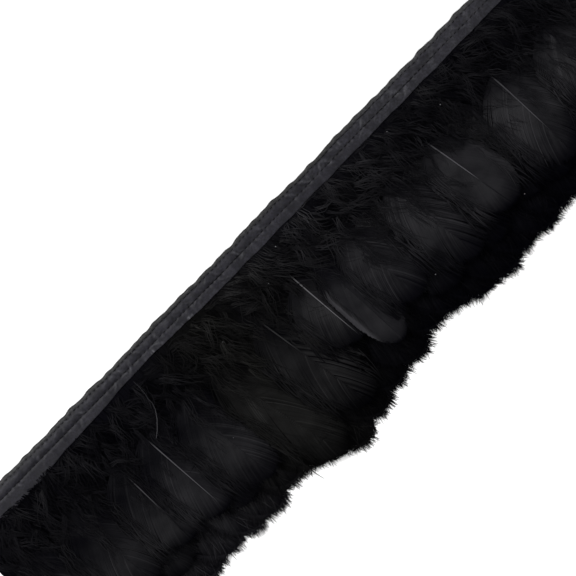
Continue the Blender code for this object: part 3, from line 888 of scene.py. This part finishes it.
# The down's heart: how far it is tucked under the tape, half how wide it is, how far out it ends, and how
# thick its strands are; and the rolls along the tape's edge, as (distance from it, radius, lightness), their
# lightness a painted shadow of the tape's edge, darkest nearest it
HEART_TUCK, HEART_HALF_WIDTH, HEART_END, HEART_RADIUS = 0.0022, 0.0080, 0.0500, 0.0020
EDGE_ROLLS = ((0.0020, 0.00085, 0.12), (0.0034, 0.0011, 0.25), (0.0053, 0.0013, 0.5))


def add_fill(strands, feather, rng):
    """The dense heart of the down under its loose barbs, near black as painted shade deep in the down, and
    rolls of it along the tape's edge, darkest nearest it as a painted shadow.
    """
    stations = 11
    share = np.linspace(0, 1, stations)
    begin = tape_width(feather["root"]) - TAPE_WIDTH - HEART_TUCK
    light = along_trim(feather["root"], HEART_LIGHT)
    for offset in np.linspace(-HEART_HALF_WIDTH, HEART_HALF_WIDTH, 9):
        distance = begin + (HEART_END - begin) * share
        thick = HEART_RADIUS * (1 + 0.12 * rng.randn(stations))
        thick = thick * (0.34 + 0.66 * smooth_step(share, 0.02, 0.12))
        thick = thick * (0.45 + 0.55 * smooth_step(1 - share, 0.0, 0.30))
        level = 0.52 * mound(distance) * (0.3 + 0.7 * smooth_step(1 - share, 0.0, 0.4)) - 0.85 * thick
        level = np.where(distance < 0.0005, 0.00105, np.maximum(level, 0.85 * thick + 0.0001))
        sway = 0.0004 * rng.randn(stations)
        x = shaft_x(feather, np.maximum(distance, 0)) + offset + sway
        points = np.stack([x, -FOLD_Y - distance, level], axis=-1)
        strands.add("fill", points[None], thick[None], np.full((1, stations), light))
    for further, radius, shade in EDGE_ROLLS:
        x = feather["root"] + np.linspace(-0.0082, 0.0082, 5)
        y = -FOLD_Y - begin - further + 0.0002 * rng.randn(5)
        points = np.stack([x, y, np.full(5, radius * 0.85 + 0.0002)], axis=-1)
        strands.add("fill", points[None], radius, np.full((1, 5), light * shade))


# How many loose hairs a back feather's veil and a top feather's streaks have, and the points to each hair
VEIL_HAIRS, STREAK_HAIRS, HAIR_STATIONS = 90, 80, 5
# How far in from a back feather's end its veil starts
VEIL_DEPTH = 0.046
# The highest that a hair may lie over the table
CEILING = 0.0119


def add_veil(strands, feather, rng):
    """Loose soft barbs that lie over a back feather's end and hide where it meets its neighbours."""
    hairs = VEIL_HAIRS
    share = np.linspace(0, 1, HAIR_STATIONS)[None, :]
    start = feather["reach"] - VEIL_DEPTH + 0.036 * rng.rand(hairs, 1)
    length = np.minimum(0.008 + 0.012 * rng.rand(hairs, 1), feather["reach"] + 0.0012 - start)
    heading = math.radians(16) * rng.randn(hairs, 1) + math.radians(14) * rng.randn(hairs, 1) * share
    across = (rng.rand(hairs, 1) - 0.5) * 1.3 * feather["half_width"]
    across = across * np.sqrt((feather["reach"] - start) / VEIL_DEPTH)
    s = start + length * share * np.cos(heading)
    w = across + length * share * np.sin(heading)
    points = on_vane(feather, s, w)
    arch = 0.0010 * rng.rand(hairs, 1) * np.sin(np.pi * share) ** 0.7
    points[:, :, 2] = np.maximum(points[:, :, 2], 0.0003) + 0.0002 + arch
    light = feather["light"] * (0.30 + 1.5 * rng.rand(hairs, 1) ** 1.5)
    thick = (0.00018 + 0.00018 * rng.rand(hairs, 1)) * (1 - 0.75 * share**2)
    strands.add("down", points, thick, light)


def add_streaks(strands, feather):
    """Loose barbs along a top feather's edges, that lie over its neighbours and blend it with them."""
    rng = np.random.RandomState(feather["seed"] + 5)
    hairs = STREAK_HAIRS
    share = np.linspace(0, 1, HAIR_STATIONS)[None, :]
    distance, half, _ = half_outline(feather)
    side = np.where(rng.rand(hairs, 1) < 0.70, -1, 1)
    start = VANE_START + (feather["reach"] - VANE_START) * (0.22 + 0.60 * rng.rand(hairs, 1))
    length = np.minimum(0.010 + 0.016 * rng.rand(hairs, 1), feather["reach"] + 0.001 - start)
    heading = math.radians(7) * side + math.radians(8) * rng.randn(hairs, 1) - math.radians(10) * side * share
    across = side * np.interp(start, distance, half) * (0.66 + 0.42 * rng.rand(hairs, 1))
    s = start + length * share * np.cos(heading)
    points = on_vane(feather, s, across + length * share * np.sin(heading))
    arch = (0.0001 + 0.0006 * rng.rand(hairs, 1)) * np.sin(np.pi * share) ** 0.6
    points[:, :, 2] = np.minimum(points[:, :, 2] + arch, CEILING)
    # The vane's painted shade: darker towards the tip, and at the base under the down
    tip = smooth_step(feather["reach"] - s, -0.002, feather["fade"])
    base = 0.30 + 0.70 * smooth_step(s, feather["pale_from"], feather["pale_full"])
    light = feather["light"] * (0.78 + 0.50 * rng.rand(hairs, 1)) * (0.16 + 0.84 * tip) * base
    thick = (0.00028 + 0.00034 * rng.rand(hairs, 1)) * (1 - 0.70 * share**2)
    strands.add("barb", points, thick, light)


# Tufts of fuzz to each side of a vane, and hairs to a tuft
FUZZ_TUFTS = {"back": (56, 4), "front": (24, 3)}


def add_fuzz(strands, feather, rng):
    """Tufts of short soft hairs that stand off the vane's edge, round its tip."""
    widest = feather["half_width"]
    back = feather["kind"] == "back"
    tufts, hairs = FUZZ_TUFTS["back" if back else "front"]
    distance, half, arc = half_outline(feather)
    share = np.linspace(0, 1, 3)[None, None, :]
    for side in (-1, 1):
        middle = (rng.rand(tufts) ** 1.1)[:, None] * (0.32 if back else 0.70)
        end_arc = arc[-1] * np.clip(1 - middle - 0.012 * rng.randn(tufts, hairs), 0, 1)
        d = np.interp(end_arc, arc, distance)
        w = np.interp(end_arc, arc, half)
        outward = 0.05 + 0.60 * (w / widest) + 0.35 * rng.randn(tufts, 1) + 0.12 * rng.randn(tufts, hairs)
        size = 0.0012 + 0.0030 * rng.rand(tufts, 1) ** 1.6
        size = size * (0.6 + 0.5 * rng.rand(tufts, hairs)) * (1 + middle)
        out = size[:, :, None] * 1.9 * share - 0.0014
        s = d[:, :, None] + out * np.cos(outward)[:, :, None]
        across = side * (w[:, :, None] + out * np.sin(outward)[:, :, None])
        points = on_vane(feather, s, across).reshape(tufts * hairs, 3, 3)
        stray = 0.0003 * rng.randn(tufts * hairs, 1) * share[0]
        points[:, :, 2] = np.maximum(points[:, :, 2] + stray, 0.00015)
        thick = (0.00036 if back else 0.00020) * (1 - 0.80 * share[0])
        # Front fuzz darkens towards the tip in its vane's painted shade
        tip = smooth_step(feather["reach"] - d, -0.004, feather["fade"])
        pale = 0.55 * feather["light"] if back else 0.34 * feather["light"] * tip
        pale = np.broadcast_to(pale, (tufts, hairs)).reshape(-1, 1) + 0.02
        strands.add("down", points, thick, np.broadcast_to(pale, (tufts * hairs, 3)))


# One long stray hair that curls over the down, as (x, distance from the tape, height)
STRAY_HAIR = (
    (-0.1085, 0.0015, 0.0080),
    (-0.1082, 0.0060, 0.0105),
    (-0.1085, 0.0110, 0.0113),
    (-0.1095, 0.0155, 0.0117),
    (-0.1095, 0.0190, 0.0118),
    (-0.1110, 0.0230, 0.0118),
    (-0.1145, 0.0280, 0.0118),
    (-0.1195, 0.0330, 0.0117),
    (-0.1235, 0.0360, 0.0114),
)
# Specks of lint that lie on the feathers, as (x, distance from the tape, size)
LINT = (
    (0.0130, 0.0062, 0.00035),
    (0.0697, 0.0892, 0.00032),
    (0.1470, 0.0180, 0.00034),
    (-0.0064, 0.0190, 0.00024),
    (0.1440, 0.0940, 0.00028),
    (0.1120, 0.0060, 0.00026),
    (-0.0520, 0.0240, 0.00022),
    (-0.0900, 0.0700, 0.00020),
)


def add_strays(strands):
    """The stray hair and the lint, which cling to one of the feathers."""
    points = np.array(STRAY_HAIR)
    points[:, 1] = -FOLD_Y - points[:, 1]
    share = np.linspace(0, 1, len(points))
    thick = 0.00007 + 0.00012 * np.sin(np.pi * share) ** 0.6 * (0.5 + 0.5 * share)
    light = 0.5 + 0.9 * smooth_step(share, 0.5, 0.85)
    strands.add("shaft", points[None], thick[None], light[None])
    for x, distance, size in LINT:
        height = 0.0116 if distance < 0.05 else 0.0098
        along = np.array([-0.6, 0.0, 0.7]) * size
        points = np.stack([x + along, -FOLD_Y - distance - along, np.full(3, height)], axis=-1)
        strands.add("shaft", points[None], np.array([[0.5, 1.0, 0.5]]) * size, 4.0)


# The feather whose edges stay clear of loose barbs, and the one that the stray hair and the lint cling to
CLEAN_FEATHER, LINT_FEATHER = "top_feather_09", "top_feather_04"
# The vanes' black, on most feathers and on the warmest
SATIN_COOL, SATIN_OLIVE = (0.0063, 0.0061, 0.0067, 1), (0.0060, 0.0059, 0.0052, 1)
# A faint cast added over the black, which shows where it is deepest: blue on most feathers, olive on the
# warmest
BLUE_CAST, OLIVE_CAST = (0.0, 0.0, 0.0007, 1), (0.0002, 0.0002, 0.0001, 1)


def with_cast(nodes, colour):
    """A colour with the faint cast added over it."""
    warm = nodes.add("ShaderNodeAttribute", {"attribute_name": "warm"}).outputs["Fac"]
    cast = nodes.add("ShaderNodeMix", {"data_type": "RGBA"}, i0=warm, i6=BLUE_CAST, i7=OLIVE_CAST).outputs[2]
    return nodes.add("ShaderNodeVectorMath", {"operation": "ADD"}, i0=colour, i1=cast).outputs[0]


def vane_finish():
    """Satin barbs: near black and mottled, each a little lighter or darker, some feathers a warmer black;
    each point's lightness also carries its painted shade and highlights.
    """
    made, shader, nodes = new_finish("satin_vane", 0.5, 0.10)
    place = nodes.add("ShaderNodeTexCoord").outputs["Object"]
    light = nodes.add("ShaderNodeAttribute", {"attribute_name": "light"}).outputs["Fac"]
    warm = nodes.add("ShaderNodeAttribute", {"attribute_name": "warm"}).outputs["Fac"]
    cloud = nodes.add("ShaderNodeTexNoise", Vector=place, Scale=60.0, Detail=3.0).outputs["Fac"]
    hue = nodes.add("ShaderNodeMix", {"data_type": "RGBA"}, i0=warm, i6=SATIN_COOL, i7=SATIN_OLIVE).outputs[2]
    mottle = nodes.add("ShaderNodeMapRange", Value=cloud, i1=0.25, i2=0.75, i3=0.55, i4=1.5).outputs[0]
    level = nodes.add("ShaderNodeMath", {"operation": "MULTIPLY"}, i0=light, i1=mottle).outputs[0]
    colour = nodes.add("ShaderNodeVectorMath", {"operation": "SCALE"}, i0=hue, Scale=level).outputs[0]
    nodes.put(shader, "Base Color", with_cast(nodes, colour))
    shine = nodes.add("ShaderNodeMapRange", Value=level, i1=0.0, i2=1.2, i3=0.0, i4=0.10).outputs[0]
    nodes.put(shader, "Specular IOR Level", shine)
    return made


def soft_finish(name, scale, roughness, shine):
    """Down, shaft or fill: black scaled by each strand's lightness, which also carries its painted shade and
    highlights.
    """
    made, shader, nodes = new_finish(name, roughness, shine)
    light = nodes.add("ShaderNodeAttribute", {"attribute_name": "light"}).outputs["Fac"]
    warm = nodes.add("ShaderNodeAttribute", {"attribute_name": "warm"}).outputs["Fac"]
    cool, olive = (scale, scale * 0.98, scale * 1.06, 1), (scale, scale * 0.99, scale * 0.93, 1)
    hue = nodes.add("ShaderNodeMix", {"data_type": "RGBA"}, i0=warm, i6=cool, i7=olive).outputs[2]
    colour = nodes.add("ShaderNodeVectorMath", {"operation": "SCALE"}, i0=hue, Scale=light).outputs[0]
    nodes.put(shader, "Base Color", with_cast(nodes, colour))
    if shine:
        level = nodes.add("ShaderNodeMath", {"operation": "MULTIPLY"}, i0=light, i1=shine).outputs[0]
        nodes.put(shader, "Specular IOR Level", level)
    return made


def make_feathers(feathers):
    """Each feather as one mesh of closed strands."""
    finishes = {
        "barb_finish": vane_finish(),
        "down_finish": soft_finish("loose_down", 0.0105, 0.9, 0.0),
        "shaft_finish": soft_finish("horny_shaft", 0.0350, 0.4, 0.10),
        "fill_finish": soft_finish("down_heart", 0.0100, 0.95, 0.0),
    }
    tree = strand_tree()
    named = {feather["name"]: feather for feather in feathers}
    clear = [(named[name], 0.0, 0.0011, bare) for name, bare in BARE_SHAFTS.items()]
    clear += [(named[name], *bare) for name, bare in BARE_VANES.items()]
    for feather in feathers:
        rng = np.random.RandomState(feather["seed"])
        strands = Strands()
        add_shaft(strands, feather)
        add_vane(strands, feather, rng)
        add_fill(strands, feather, rng)
        add_down(strands, feather, rng, clear)
        add_fuzz(strands, feather, rng)
        if feather["kind"] == "back":
            add_veil(strands, feather, rng)
        if feather["kind"] == "top" and feather["name"] != CLEAN_FEATHER:
            add_streaks(strands, feather)
        if feather["name"] == LINT_FEATHER:
            add_strays(strands)
        mesh = made_mesh(strands.object("lines"), tree, **finishes)
        mesh.name = feather["name"] + "_barbs"
        warm = mesh.attributes.new("warm", "FLOAT", "POINT")
        warm.data.foreach_set("value", np.full(len(mesh.vertices), feather["warm"], dtype=np.float32))
        made = link_object(mesh.name, mesh)
        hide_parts(feather["name"])
        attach(made, "root")


feathers = feather_list()
ribbon = make_ribbon([feather["root"] for feather in feathers])
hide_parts("ribbon_tape")
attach(ribbon, "root")
make_feathers(feathers)


# The stitches. Two rows of black polyester thread from a sewing machine, each stitch lying in the dimple that
# it pulls into the ribbon and diving through it at both ends.
STITCH_RADIUS = 0.00025
STITCH_SHARE = 0.80
STITCH_LIFT = 0.00005
SEAM_MARGIN, SEAM_POINTS = 0.003, 700


def stitch_tree():
    """A stitch at every pitch along a seam line."""
    tree = bpy.data.node_groups.new("stitch_row", "GeometryNodeTree")
    tree.interface.new_socket("Seam", in_out="INPUT", socket_type="NodeSocketGeometry")
    tree.interface.new_socket("Stitches", in_out="OUTPUT", socket_type="NodeSocketGeometry")
    lengths = {"Pitch": STITCH_PITCH, "Length": STITCH_PITCH * STITCH_SHARE, "Radius": STITCH_RADIUS}
    for name, value in lengths.items():
        tree.interface.new_socket(name, in_out="INPUT", socket_type="NodeSocketFloat").default_value = value
    tree.interface.new_socket("Thread", in_out="INPUT", socket_type="NodeSocketMaterial")
    nodes = Nodes(tree)
    start = nodes.add("NodeGroupInput")
    seam = nodes.add("GeometryNodeMeshToCurve", Mesh=start.outputs["Seam"])
    spots = nodes.add("GeometryNodeResampleCurve", {"mode": "LENGTH"}, Curve=seam.outputs[0])
    nodes.put(spots, "Length", start.outputs["Pitch"])
    tangent = nodes.add("GeometryNodeInputTangent").outputs[0]
    turn = nodes.add("FunctionNodeAlignRotationToVector", {"axis": "X"}, Vector=tangent)

    def share_of(title, share):
        product = nodes.add("ShaderNodeMath", {"operation": "MULTIPLY"}, i0=start.outputs[title], i1=share)
        return product.outputs[0]

    ahead, behind = share_of("Length", 0.5), share_of("Length", -0.5)
    dip, crown = share_of("Radius", -1.8), share_of("Radius", 2.2)
    arc = nodes.add("GeometryNodeCurveQuadraticBezier", Resolution=6)
    nodes.put(arc, "Start", nodes.add("ShaderNodeCombineXYZ", X=behind, Z=dip).outputs[0])
    nodes.put(arc, "Middle", nodes.add("ShaderNodeCombineXYZ", Z=crown).outputs[0])
    nodes.put(arc, "End", nodes.add("ShaderNodeCombineXYZ", X=ahead, Z=dip).outputs[0])
    ring = nodes.add("GeometryNodeCurvePrimitiveCircle", Resolution=6, Radius=start.outputs["Radius"])
    one = nodes.add("GeometryNodeCurveToMesh", Curve=arc.outputs[0])
    nodes.put(one, "Profile Curve", ring.outputs["Curve"])
    nodes.put(one, "Fill Caps", True)
    sizes = nodes.add("FunctionNodeRandomValue", {"data_type": "FLOAT"}, Seed=4)
    sizes.inputs[2].default_value = 0.88
    sizes.inputs[3].default_value = 1.08
    row = nodes.add("GeometryNodeInstanceOnPoints", Points=spots.outputs[0], Instance=one.outputs[0])
    nodes.put(row, "Rotation", turn.outputs[0])
    nodes.put(row, "Scale", sizes.outputs[1])
    smooth = nodes.add("GeometryNodeSetShadeSmooth", Geometry=row.outputs[0])
    whole = nodes.add("GeometryNodeRealizeInstances", Geometry=smooth.outputs[0])
    finish = nodes.add("GeometryNodeSetMaterial", Geometry=whole.outputs[0])
    nodes.put(finish, "Material", start.outputs["Thread"])
    end = nodes.add("NodeGroupOutput")
    tree.links.new(finish.outputs[0], end.inputs[0])
    return tree


def thread_finish():
    """Spun black thread with the slant of its twist."""
    made, shader, nodes = new_finish("black_thread", 0.7, 0.05)
    shader.inputs["Base Color"].default_value = (0.0022, 0.0022, 0.0028, 1)
    place = nodes.add("ShaderNodeTexCoord").outputs["Object"]
    turned = nodes.add("ShaderNodeMapping", Vector=place, Rotation=(0, 0, 0.6)).outputs[0]
    twist = nodes.add("ShaderNodeTexWave", Vector=turned, Scale=900.0, Distortion=0.4).outputs["Fac"]
    relief = nodes.add("ShaderNodeBump", Strength=0.6, Distance=0.0001, Height=twist).outputs["Normal"]
    nodes.put(shader, "Normal", relief)
    return made


def make_stitches(quills):
    """Both rows of stitches, each along its seam line on the upper ply."""
    finish = thread_finish()
    stitches = []
    tree = stitch_tree()
    x = np.linspace(-TRIM_LENGTH / 2 + SEAM_MARGIN, TRIM_LENGTH / 2 - SEAM_MARGIN, SEAM_POINTS)
    width = np.array([tape_width(value) for value in x])
    for row, node in enumerate(("stitch_thread_outer", "stitch_thread_inner")):
        across = seam_line(x, row)
        relief = ribbon_relief(x, across, width, quills)[0]
        y, z = upper_ply(x, across, relief)
        mesh = bpy.data.meshes.new("seam")
        points = np.stack([x, y, z + RIBBON_THICKNESS / 2 + STITCH_LIFT], axis=-1)
        index = np.arange(SEAM_POINTS)
        edges = np.stack([index[:-1], index[1:]], axis=-1)
        mesh.from_pydata(points.tolist(), edges.tolist(), [])
        made = link_object(node + "_stitches", made_mesh(link_object("seam", mesh), tree, Thread=finish))
        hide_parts(node)
        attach(made, "root")
        stitches.append(made)
    return stitches


stitches = make_stitches([feather["root"] for feather in feathers])


# The table and the light. A plain white table top under two soft lamps and a pale sky, seen from straight
# above with the tape running up to the right, as it lies in the photograph.
CAMERA_HEIGHT = 1.10
FRAME_WIDTH = 0.360
TAPE_ANGLE = math.radians(45.8)
VIEW_CENTRE_Y = -0.0371
SENSOR = 0.036
TABLE_SIZE, TABLE_DROP = 3.0, 0.0001
SKY = 0.55
# Each lamp's place and power; both are round and a metre across
LAMPS = {"key": ((-0.75, 0.95, 1.15), 34), "fill": ((0.95, -1.05, 0.95), 14)}
LAMP_SIZE = 1.0


def make_table():
    finish, shader, _ = new_finish("white_table", 0.9, 0.0)
    shader.inputs["Base Color"].default_value = (0.9, 0.9, 0.9, 1)
    mesh = bpy.data.meshes.new("table")
    corners = [(TABLE_SIZE * x, TABLE_SIZE * y, 0) for x, y in ((-1, -1), (1, -1), (1, 1), (-1, 1))]
    mesh.from_pydata(corners, [], [(0, 1, 2, 3)])
    mesh.materials.append(finish)
    table = link_object("table", mesh)
    table.location.z = -TABLE_DROP


def add_lamp(name, place, aim, power):
    data = bpy.data.lights.new(name, "AREA")
    data.shape = "DISK"
    data.size = LAMP_SIZE
    data.energy = power
    lamp = bpy.data.objects.new(name, data)
    bpy.context.scene.collection.objects.link(lamp)
    lamp.location = place
    direction = Vector(np.array(aim) - np.array(place))
    lamp.rotation_euler = direction.to_track_quat("-Z", "Y").to_euler()


def make_light_and_camera():
    scene = bpy.context.scene
    world = bpy.data.worlds.new("studio")
    scene.world = world
    world.use_nodes = True
    world.node_tree.nodes["Background"].inputs["Color"].default_value = (1, 1, 1, 1)
    world.node_tree.nodes["Background"].inputs["Strength"].default_value = SKY
    aim = (0, VIEW_CENTRE_Y, 0)
    for name, (place, power) in LAMPS.items():
        add_lamp(name, place, aim, power)
    data = bpy.data.cameras.new("camera")
    data.sensor_width = SENSOR * 1000
    data.lens = SENSOR * 1000 * CAMERA_HEIGHT / FRAME_WIDTH
    data.clip_end = 20
    camera = bpy.data.objects.new("camera", data)
    camera.location = (0, VIEW_CENTRE_Y, CAMERA_HEIGHT)
    camera.rotation_euler = (0, 0, -TAPE_ANGLE)
    scene.collection.objects.link(camera)
    scene.camera = camera
    scene.view_settings.view_transform = "Standard"


make_table()
make_light_and_camera()
